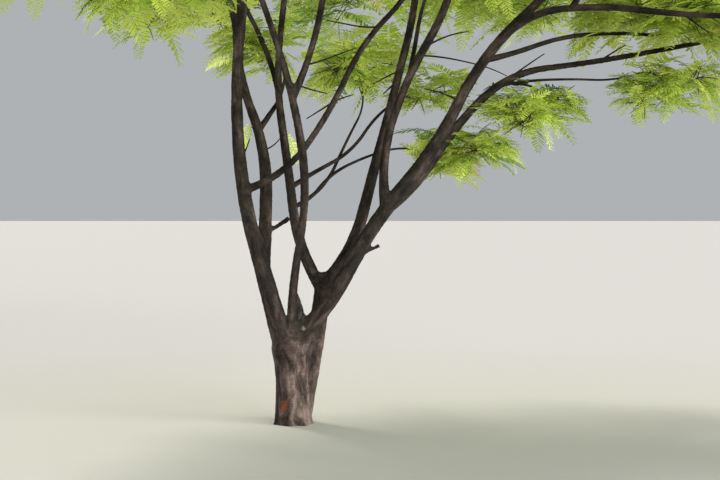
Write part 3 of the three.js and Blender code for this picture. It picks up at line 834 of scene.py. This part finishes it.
# Turns, rises and strays are in degrees, and a mass's space is a flattened ball.
FLATNESS = 0.68
NEIGHBOUR_GAP = 0.012
STEM_STEPS, STEM_SIDES, STEM_CROOKED = 14, 7, 0.06
STEM_SEATED, STEM_FITS, STEM_TIP = 0.02, 0.98, 0.006
FEW_TWIGS, MANY_TWIGS, MANY_OVER = 3, 5, 0.6
TWIG_FIRST, TWIG_REACH, TWIG_HEIGHT, TWIG_ARCH, TWIG_STAGGER = 0.45, 0.5, 0.5, 0.1, 72
TWIG_STEPS, TWIG_SIDES, TWIG_TIP = 10, 5, 0.004
TWIG_FOOT_SHARE, TWIG_FOOT_MORE = 0.5, 0.002
VARIED = 0.15
SHOOT_LENGTH = 0.5
FULL_SIZE_SPREAD = 0.7
SHOOT_PLACES = [(0.3, 0.55, 0.8), (0.36, 0.72)]
SHOOT_AT_END = 0.98
SHOOT_ANGLE = 58
SHOOT_STRAYS = (11, 20)
SEEDS_APART, DRAW_TIMES, DRAW_PLUS, DRAW_RANGE = 7919, 1664525, 1013904223, 2**32

spaces = [
    (np.array(bough["space"][0]) / METRE, bough["space"][1] / METRE)
    for bough in BOUGHS.values()
]
middles = np.array([middle for middle, _ in spaces])
spreads = np.array([spread for _, spread in spaces])
unflat = np.array([1, 1, 1 / FLATNESS])


def inside_space(number, place):
    """Whether a place is in a mass's own space and clear of its neighbours'."""
    depth = (((place - middles) * unflat) ** 2).sum(axis=1) - spreads**2
    apart = np.linalg.norm((middles - middles[number]) * unflat, axis=1)
    others = np.arange(len(spaces)) != number
    clear = depth[number] + NEIGHBOUR_GAP * apart < depth
    return depth[number] < 0 and bool(clear[others].all())


def seeded(seed):
    """Random shares between 0 and 1 that come out the same each time for one seed."""
    state = seed * SEEDS_APART

    def draw():
        nonlocal state
        state = (state * DRAW_TIMES + DRAW_PLUS) % DRAW_RANGE
        return state / DRAW_RANGE

    return draw


def strayed(draw, most):
    """A random amount between -most and most."""
    return (draw() * 2 - 1) * most


def arched(start, end, arch, steps):
    """A curve that rises over the straight way by a share of its length."""
    over = (start + end) / 2 + np.array([0, 0, arch * np.linalg.norm(end - start)])
    return bend(start, over, end, steps)


twigs = Shape()
shoots = []
for number, name in enumerate(BOUGHS):
    draw = seeded(number + 1)
    middle, spread = spaces[number]
    line = limbs[name]["line"]
    tip_radius = limbs[name]["radii"][-1]
    ahead = line[-1] - line[-2]
    ahead /= np.linalg.norm(ahead)
    start = line[-1] - ahead * STEM_SEATED
    towards = start + ahead * np.linalg.norm(middle - start) / 2
    stem = bend(start, towards, middle, STEM_STEPS)
    stem_radii = np.linspace(tip_radius * STEM_FITS, STEM_TIP, STEM_STEPS + 1)
    twigs.tube(stem, stem_radii, STEM_SIDES, crooked(number, STEM_CROOKED))
    count = MANY_TWIGS if spread > MANY_OVER else FEW_TWIGS
    full_length = SHOOT_LENGTH * min(1, spread / FULL_SIZE_SPREAD)
    first_bearing = draw() * 360
    for i in range(count):
        share = TWIG_FIRST + (1 - TWIG_FIRST) * i / (count - 1)
        foot = along(stem, share)
        bearing = first_bearing + i * 2 * 360 / count + strayed(draw, TWIG_STAGGER / 2)
        reach_out = spread * TWIG_REACH * (1 + strayed(draw, VARIED))
        end = heading(bearing, 0) * reach_out + middle
        end[2] += strayed(draw, TWIG_HEIGHT) * spread * FLATNESS
        if not inside_space(number, end):
            continue
        twig = arched(foot, end, TWIG_ARCH, TWIG_STEPS)
        stem_radius = tip_radius + (STEM_TIP - tip_radius) * share
        foot_radius = TWIG_FOOT_SHARE * stem_radius + TWIG_FOOT_MORE
        twigs.tube(twig, np.linspace(foot_radius, TWIG_TIP, TWIG_STEPS + 1), TWIG_SIDES)
        places = [(at, (order + i) % 2 * 2 - 1) for order, at in enumerate(SHOOT_PLACES[i % 2])]
        for at, turn in places + [(SHOOT_AT_END, 0)]:
            shoot_bearing = bearing
            if turn:
                shoot_bearing = bearing + turn * SHOOT_ANGLE + strayed(draw, SHOOT_STRAYS[0])
            shoots.append(
                dict(
                    bough=name,
                    mass=number,
                    root=along(twig, at),
                    bearing=shoot_bearing,
                    rise=strayed(draw, SHOOT_STRAYS[1]),
                    length=full_length * (1 + strayed(draw, VARIED)),
                )
            )

# Each short shoot forks into three thin twiglets, one straight on, one climbing and one
# hanging, and into two more in the smaller, lower masses. Each twiglet bears a spray: leaves
# to both sides and one from its tip. A leaf that doesn't fit is tried shorter or turned. The
# leaves that fit are drawn in their own section.
TWIGLETS = [dict(turn=0, rise=4), dict(turn=34, rise=32), dict(turn=-32, rise=-28)]
MORE_TWIGLETS = [dict(turn=52, rise=-34), dict(turn=-56, rise=16)]
LOW_UNDER = 0.8
TWIGLET_SHARE, TWIGLET_STRAYS, TWIGLET_ARCH = 0.46, (10, 8), 0.08
TWIGLET_STEPS, TWIGLET_SIDES, TWIGLET_RADII = 4, 3, (0.0042, 0.0026)
FIRST_SHOOT_SEED = 1000
FULL_SIZE_SHOOT = 0.42
SPRAY_TURNS = (-98, 62, -40, 0)
SPRAY_FROM, SPRAY_STRAYS = 0.45, 12
LEAF_LENGTH = 0.38
LEAF_VARIED = 0.16
LEAF_RISE = (-14, 26)
LEAF_ROLL = 24
LEAF_SAG = 0.16
LEAF_TRIES = [(1, 0), (0.9, -18), (0.9, 18), (0.75, 0), (0.7, -30)]
LIMB_CLEAR = 0.02
TOP_CLEAR, BOX_CLEAR = 0.03, 0.004
FROND_KINDS = 6

limb_places, limb_reach = [], []
for name in limbs:
    points, radii = limb_points(limbs[name], LIMB_STEP)
    limb_places.append(points)
    limb_reach.append(radii)
limb_reach = np.concatenate(limb_reach)
limb_finder = finder_of(np.concatenate(limb_places))


def clear_of_limbs(places):
    for place in places:
        _, i, distance = limb_finder.find(place)
        if distance < limb_reach[i] + LIMB_CLEAR:
            return False
    return True


low, high = (np.array(corner) for corner in cad_box)
leaves = []
spray_is_low = []
for number, shoot in enumerate(shoots):
    draw = seeded(FIRST_SHOOT_SEED + number)
    mass = shoot["mass"]
    small = min(1, shoot["length"] / FULL_SIZE_SHOOT)
    hand = 1 if number % 2 else -1
    is_low = spreads[mass] < LOW_UNDER
    for twiglet in TWIGLETS + (MORE_TWIGLETS if is_low else []):
        bearing = shoot["bearing"] + hand * twiglet["turn"] + strayed(draw, TWIGLET_STRAYS[0])
        rise = shoot["rise"] + twiglet["rise"] + strayed(draw, TWIGLET_STRAYS[1])
        length = shoot["length"] * TWIGLET_SHARE * (1 + strayed(draw, VARIED))
        end = shoot["root"] + heading(bearing, rise) * length
        too_high = end[2] > high[2] - TOP_CLEAR
        if too_high or not inside_space(mass, end) or not clear_of_limbs([end]):
            continue
        line = arched(shoot["root"], end, TWIGLET_ARCH, TWIGLET_STEPS)
        twigs.tube(line, np.linspace(*TWIGLET_RADII, TWIGLET_STEPS + 1), TWIGLET_SIDES)
        spray_is_low.append(is_low)
        for i, spread_turn in enumerate(SPRAY_TURNS):
            turn = hand * spread_turn + strayed(draw, SPRAY_STRAYS)
            foot = along(line, SPRAY_FROM + (1 - SPRAY_FROM) * i / (len(SPRAY_TURNS) - 1))
            full = LEAF_LENGTH * small * (1 + strayed(draw, LEAF_VARIED))
            lift = LEAF_RISE[0] + (LEAF_RISE[1] - LEAF_RISE[0]) * draw() + rise / 2
            roll = strayed(draw, LEAF_ROLL)
            kind = int(draw() * FROND_KINDS)
            for share, more in LEAF_TRIES:
                size = full * share
                out = heading(bearing + turn, lift + more)
                tip = foot + out * size - np.array([0, 0, LEAF_SAG * size])
                middle = foot + out * size / 2
                fits = (tip > low + BOX_CLEAR).all() and (tip < high - BOX_CLEAR).all()
                if fits and inside_space(mass, tip) and clear_of_limbs([tip, middle]):
                    leaves.append(
                        dict(
                            bough=shoot["bough"],
                            spray=len(spray_is_low) - 1,
                            foot=foot,
                            bearing=bearing + turn,
                            rise=lift + more,
                            roll=roll,
                            length=size,
                            kind=kind,
                        )
                    )
                    break

# The twig colours are lighter to make up for the bark's painted shade above the fork.
green_twig = bark_material(
    "green_twig", dark=(0.16, 0.15, 0.06), light=(0.42, 0.41, 0.16), bleached=(0.66, 0.64, 0.3)
)
crown_twigs = finished(twigs, "crown_twigs", green_twig)


# Leaves: feathery fronds, twice divided. A leaf is a thin arching stalk with pairs of narrow
# side blades, each a double row of tiny leaflets folded a little along its midrib. They hang
# in flat sprays and are joined by the part of the crown that they grow in.

# A leaf's sizes are shares of its length.
FIRST_FROND_SEED = 60
ARCH_LEAST, ARCH_MORE = 0.06, 0.05
DROOP_LEAST, DROOP_MORE = 0.13, 0.09
BOWED = 0.05
STALK_PLACES = (0, 0.48, 0.99)
STALK_HALF, STALK_TAPER, STALK_DEEP = 0.0065, 0.002, 1.4
STALK_BARE, LAST_BLADE = 0.13, 0.985
BLADE_PAIRS = 16
BLADE_LENGTH, BLADE_WIDTH = 0.24, 0.215
SWELL_FROM, SWELL_OVER, SWELL_LEAST, END_SHRINKS = 0.12, 0.74, 0.5, 0.35
BLADE_VARIED = (0.88, 1.08)
BLADE_ANGLE, BLADE_STRAYS = (82, 42), 6
BLADE_TILT = (-0.32, 0.1)
BLADE_FOLD, BLADE_SAG = -0.35, -0.12
BLADE_NEAR, NEAR_WIDTH = 0.17, 0.92
BLADE_FAR, FAR_WIDTH, FAR_SAG = 0.8, 0.95, 0.6


def frond(seed):
    """One leaf of unit length along +X, as corners and three-cornered faces."""
    chance = np.random.default_rng(seed)
    arch = ARCH_LEAST + ARCH_MORE * chance.random()
    droop = DROOP_LEAST + DROOP_MORE * chance.random()
    bowed = chance.uniform(-BOWED, BOWED)

    def spot(share):
        """A place on the stalk's middle line."""
        swell = math.sin(math.pi * share)
        return np.array([share, bowed * swell, arch * swell - droop * share**2])

    def blade_length(share):
        """Blades are longest near the stalk's middle and shortest at its tip."""
        swell = math.sin(math.pi * (SWELL_FROM + SWELL_OVER * share))
        rounded = SWELL_LEAST + (1 - SWELL_LEAST) * swell
        return BLADE_LENGTH * rounded * (1 - END_SHRINKS * share**3)

    corners, faces = [], []
    for i, place in enumerate(STALK_PLACES):
        middle, half = spot(place), STALK_HALF - STALK_TAPER * i
        corners += [middle + [0, half, 0], middle - [0, half, 0]]
        corners.append(middle - [0, 0, half * STALK_DEEP])
    for i in range(len(STALK_PLACES) - 1):
        for a, b in ((0, 1), (1, 2), (2, 0)):
            p, q = i * 3 + a, i * 3 + b
            faces += [(p, q, q + 3), (p, q + 3, p + 3)]
    for i in range(BLADE_PAIRS):
        share = i / (BLADE_PAIRS - 1)
        base = spot(STALK_BARE + (LAST_BLADE - STALK_BARE) * share)
        for side in (1, -1):
            angle = BLADE_ANGLE[0] + (BLADE_ANGLE[1] - BLADE_ANGLE[0]) * share
            angle = math.radians(angle + chance.uniform(-BLADE_STRAYS, BLADE_STRAYS))
            length = blade_length(share) * chance.uniform(*BLADE_VARIED)
            out = np.array([math.cos(angle), side * math.sin(angle), chance.uniform(*BLADE_TILT)])
            out /= np.linalg.norm(out)
            across = np.cross([0, 0, 1.0], out)
            across /= np.linalg.norm(across)
            up = np.cross(out, across)
            half = length * BLADE_WIDTH / 2
            fold = up * (BLADE_FOLD * half)
            sag = np.array([0, 0, BLADE_SAG * length])
            first = len(corners)
            corners += [base, base + out * length + sag]
            for way in (1, -1):
                near = base + out * length * BLADE_NEAR + across * way * half * NEAR_WIDTH + fold
                far = base + out * length * BLADE_FAR + across * way * half * FAR_WIDTH + fold
                corners += [near, far + sag * FAR_SAG]
            root, end, left_near, left_far, right_near, right_far = range(first, first + 6)
            faces += [(root, left_far, left_near), (root, end, left_far)]
            faces += [(root, right_far, end), (root, right_near, right_far)]
    return np.array(corners), np.array(faces)


fronds = [frond(FIRST_FROND_SEED + kind) for kind in range(FROND_KINDS)]

# A few single leaves sprout straight from the bare boughs: the bough, the share of the way
# along it, the leaf's bearing, rise and roll, and its length.
LONE_LEAVES = [
    ("right_bough", 0.44, 180, 6, 12, 0.27),
    ("right_bough", 0.425, 150, -14, 50, 0.19),
    ("left_bough", 0.54, 205, -14, 50, 0.2),
    ("left_inner_bough", 0.46, 110, -20, 40, 0.22),
    ("left_inner_bough", 0.32, 205, -62, 75, 0.25),
    ("rear_left_bough", 0.33, 20, -60, 80, 0.23),
]

for number, (name, share, bearing, rise, roll, length) in enumerate(LONE_LEAVES):
    spray_is_low.append(True)
    out = heading(bearing, rise) * radius_on(limbs[name], share)
    leaves.append(
        dict(
            bough=name,
            spray=len(spray_is_low) - 1,
            foot=along(limbs[name]["line"], share) + out,
            bearing=bearing,
            rise=rise,
            roll=roll,
            length=length,
            kind=number,
        )
    )


def placed(leaf):
    """A leaf's frond, turned, rolled and sized where it grows."""
    corners, faces = fronds[leaf["kind"]]
    out = heading(leaf["bearing"], leaf["rise"])
    level = np.cross([0, 0, 1.0], out)
    level /= np.linalg.norm(level)
    upright = np.cross(out, level)
    roll = math.radians(leaf["roll"])
    side = level * math.cos(roll) + upright * math.sin(roll)
    up = upright * math.cos(roll) - level * math.sin(roll)
    return leaf["foot"] + leaf["length"] * (corners @ np.array([out, side, up])), faces


# Each spray has one tint. The green tints are one leaf colour painted lit and shaded: the lighter
# ones are painted light for sunlight glowing through backlit leaves, and the darker ones painted
# shade for leaves in shade, besides young leaves being paler. Yellow and orange are autumn tints.
# The shares say how many sprays get each, first in the large masses and then in the smaller, lower
# ones, which get more of the painted light to make up for their shade.
TINTS = {
    "lit_leaf": (0.71, 0.82, 0.17),
    "bright_leaf": (0.62, 0.77, 0.125),
    "fresh_and_lit_leaf": (0.48, 0.65, 0.095),
    "green_leaf": (0.34, 0.51, 0.07),
    "half_shade_leaf": (0.22, 0.36, 0.05),
    "deep_shade_leaf": (0.12, 0.22, 0.035),
    "yellow_leaf": (0.82, 0.7, 0.12),
    "orange_leaf": (0.76, 0.5, 0.1),
}
TINT_SHARES = (0.4, 0.28, 0.14, 0.08, 0.05, 0.02, 0.02, 0.01)
LOW_TINT_SHARES = (0.56, 0.25, 0.09, 0.04, 0.02, 0.01, 0.02, 0.01)
TINT_SEED = 11
LEAF_ROUGHNESS, LEAF_SPECULAR = 0.55, 0.25
REGIONS = {
    "left_crown_leaves": [
        "left_bough",
        "left_inner_bough",
        "left_outer_bough",
        "left_rear_bough",
        "left_hanging_branch",
    ],
    "front_crown_leaves": [
        "front_bough",
        "front_upright_fork",
        "front_outer_bough",
        "crossing_bough",
        "front_right_bough",
    ],
    "right_crown_leaves": [
        "right_bough",
        "right_low_bough",
        "right_arching_bough",
        "right_middle_bough",
        "right_front_bough",
    ],
    "upper_crown_leaves": [
        "rear_left_bough",
        "right_upright_bough",
        "upright_fork",
        "slanting_branch",
        "low_rear_branch",
        "underside_branch",
        "thin_right_branch",
        "hanging_branch",
    ],
    "rear_crown_leaves": [
        "rear_bough",
        "rear_left_fork",
        "rear_right_bough",
        "rear_outer_bough",
        "rear_left_outer_bough",
        "left_inner_fork",
    ],
}


def plain_material(name, colour, roughness, specular=0.5):
    material = bpy.data.materials.new(name)
    material.use_nodes = True
    shader = material.node_tree.nodes["Principled BSDF"]
    shader.inputs["Base Color"].default_value = (*colour, 1)
    shader.inputs["Roughness"].default_value = roughness
    shader.inputs["Specular IOR Level"].default_value = specular
    return material


tints = [
    plain_material(name, colour, LEAF_ROUGHNESS, LEAF_SPECULAR) for name, colour in TINTS.items()
]
chance = np.random.default_rng(TINT_SEED)
# The lit and shaded tints are dealt out at random by spray, with more painted light in the
# smaller, lower masses.
tint_of_spray = [
    chance.choice(len(tints), p=LOW_TINT_SHARES if is_low else TINT_SHARES)
    for is_low in spray_is_low
]
for region, boughs in REGIONS.items():
    all_corners, all_faces, all_tints, count = [], [], [], 0
    for leaf in leaves:
        if leaf["bough"] not in boughs:
            continue
        corners, faces = placed(leaf)
        if (corners < low).any() or (corners > high).any():
            continue
        all_corners.append(corners)
        all_faces.append(faces + count)
        all_tints.append(np.full(len(faces), tint_of_spray[leaf["spray"]]))
        count += len(corners)
    mesh = mesh_of(region, np.concatenate(all_corners), np.concatenate(all_faces))
    mesh.polygons.foreach_set("use_smooth", [False] * len(mesh.polygons))
    mesh.polygons.foreach_set("material_index", np.concatenate(all_tints).astype(np.int32))
    for tint in tints:
        mesh.materials.append(tint)
    piece = in_scene(region, mesh)
    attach(piece, "root")
    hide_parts(*[bough + "_leaves" for bough in boughs])


# Floor, light and camera: a plain pale floor without an edge in sight, soft light from a wide
# sky, a warm key from behind and above, a fill from the right and a low light on the front,
# and a camera at eye height ten metres in front.
FLOOR_REACH = 60
FLOOR_COLOUR, FLOOR_ROUGHNESS = (0.6, 0.59, 0.57), 0.95
SKY_COLOUR, SKY_STRENGTH = (0.93, 0.965, 1), 0.46
LAMPS = {
    "key": dict(towards=(0.5, -0.66, -0.8), softness=12, strength=2.2, colour=(1, 0.95, 0.86)),
    "fill": dict(towards=(-0.95, 0.4, -0.25), softness=30, strength=2.2, colour=(1, 0.96, 0.93)),
    "low": dict(towards=(-0.55, 0.83, -0.07), softness=44, strength=3.6, colour=(1, 1, 0.95)),
}
CAMERA_PLACE = (0.438, -10, 1.55)
CAMERA_DIPS = 1.98
LENS, FILM_WIDTH = 76.5, 36

floor_corners = [
    (x * FLOOR_REACH, y * FLOOR_REACH, 0) for x, y in ((-1, -1), (1, -1), (1, 1), (-1, 1))
]
floor_mesh = mesh_of("floor", floor_corners, [(0, 1, 2, 3)])
floor_mesh.materials.append(plain_material("pale_floor", FLOOR_COLOUR, FLOOR_ROUGHNESS))
floor = in_scene("floor", floor_mesh)

world = bpy.data.worlds.new("soft_sky")
world.use_nodes = True
sky = world.node_tree.nodes["Background"]
sky.inputs["Color"].default_value = (*SKY_COLOUR, 1)
sky.inputs["Strength"].default_value = SKY_STRENGTH
bpy.context.scene.world = world

for name, lamp in LAMPS.items():
    light = bpy.data.lights.new(name, "SUN")
    light.angle = math.radians(lamp["softness"])
    light.energy = lamp["strength"]
    light.color = lamp["colour"]
    stand = in_scene(name, light)
    stand.rotation_euler = Vector(lamp["towards"]).to_track_quat("-Z", "Y").to_euler()
bpy.context.scene.view_settings.view_transform = "Standard"

camera_data = bpy.data.cameras.new("camera")
camera_data.lens = LENS
camera_data.sensor_width = FILM_WIDTH
camera = in_scene("camera", camera_data)
camera.location = CAMERA_PLACE
camera.rotation_euler = (math.radians(90 - CAMERA_DIPS), 0, 0)
bpy.context.scene.camera = camera
